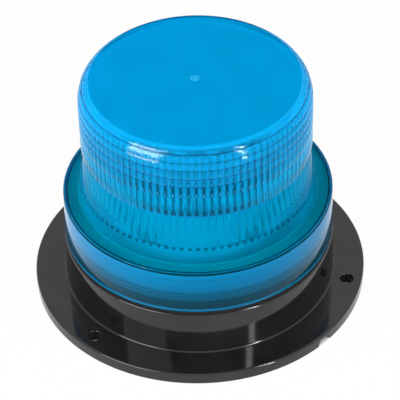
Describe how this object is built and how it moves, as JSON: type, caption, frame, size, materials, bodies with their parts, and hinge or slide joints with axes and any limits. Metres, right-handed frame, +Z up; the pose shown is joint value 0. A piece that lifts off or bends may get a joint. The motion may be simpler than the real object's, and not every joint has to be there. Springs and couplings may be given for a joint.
{
  "type": "warning beacon",
  "caption": "Round blue warning beacon: fluted screw-on lens over an LED tower, on a black flanged base with bolt holes and a lead channel at its edge.",
  "frame": {"origin": "centre of the mounting face under the flange", "axes": "+Z up the lamp's axis; the lead channel leaves between +X and -Y"},
  "size_m": [0.165, 0.165, 0.1203],
  "materials": {
    "black_plastic": "glossy moulded black",
    "blue_lens": "clear blue, frosted top",
    "seal_rubber": "matt black",
    "circuit_board": "green solder mask",
    "steel": "zinc plated",
    "terminal_plastic": "green moulded",
    "fuse_glass": "clear",
    "clip_metal": "tin plated",
    "capacitor_sleeve": "shrunk sleeve",
    "choke_wire": "enamelled copper",
    "sink_aluminium": "satin",
    "black_case": "moulded epoxy",
    "suppressor_coat": "dipped",
    "connector_plastic": "nylon",
    "red_insulation": "satin",
    "black_insulation": "satin",
    "brass": "turned",
    "white_plastic": "white moulded",
    "tower_aluminium": "satin, as sawn and turned",
    "pad_silicone": "grey pad",
    "black_board": "black solder mask",
    "led_resin": "clear dome over phosphor-free chip"
  },
  "bodies": {
    "base": {"base_housing": "black_plastic", "cable_grommet": "seal_rubber", "driver_board": "circuit_board", "board_screws": "steel", "terminal_screws": "steel", "post_screws": "steel", "plate_screws": "steel", "tower_screws": "steel", "panel_screws": "steel", "terminal_block": "terminal_plastic", "input_fuse": "fuse_glass", "fuse_clips": "clip_metal", "capacitor_1": "capacitor_sleeve", "capacitor_2": "capacitor_sleeve", "choke_coil": "choke_wire", "transistor_heat_sink": "sink_aluminium", "transistor_1": "black_case", "transistor_2": "black_case", "control_chip": "black_case", "polarity_diode": "black_case", "surge_suppressor": "suppressor_coat", "lead_connector": "connector_plastic", "red_lead": "red_insulation", "black_lead": "black_insulation", "plate_post_1": "brass", "plate_post_2": "brass", "plate_post_3": "brass", "reflector_plate": "white_plastic", "led_tower": "tower_aluminium", "thermal_pad_1": "pad_silicone", "thermal_pad_2": "pad_silicone", "thermal_pad_3": "pad_silicone", "thermal_pad_4": "pad_silicone", "thermal_pad_5": "pad_silicone", "thermal_pad_6": "pad_silicone", "led_board_1": "black_board", "led_board_2": "black_board", "led_board_3": "black_board", "led_board_4": "black_board", "led_board_5": "black_board", "led_board_6": "black_board", "led_group_1": "led_resin", "led_group_2": "led_resin", "led_group_3": "led_resin", "led_group_4": "led_resin", "led_group_5": "led_resin", "led_group_6": "led_resin"},
    "seal": {"lens_seal": "seal_rubber"},
    "lens": {"lens": "blue_lens"}
  },
  "joints": [
    {"name": "lens_rise", "type": "slide", "parent": "base", "child": "seal", "axis": [0, 0, 1], "range_m": [0, 0.0091]},
    {"name": "lens_turn", "type": "hinge", "parent": "seal", "child": "lens", "pos_m": [0, 0, 0], "axis": [0, 0, 1], "range_deg": [0, 540]}
  ],
  "couplings": [
    {"joint": "lens_rise", "follows": "lens_turn", "m_per_rad": 0.00095493}
  ]
}
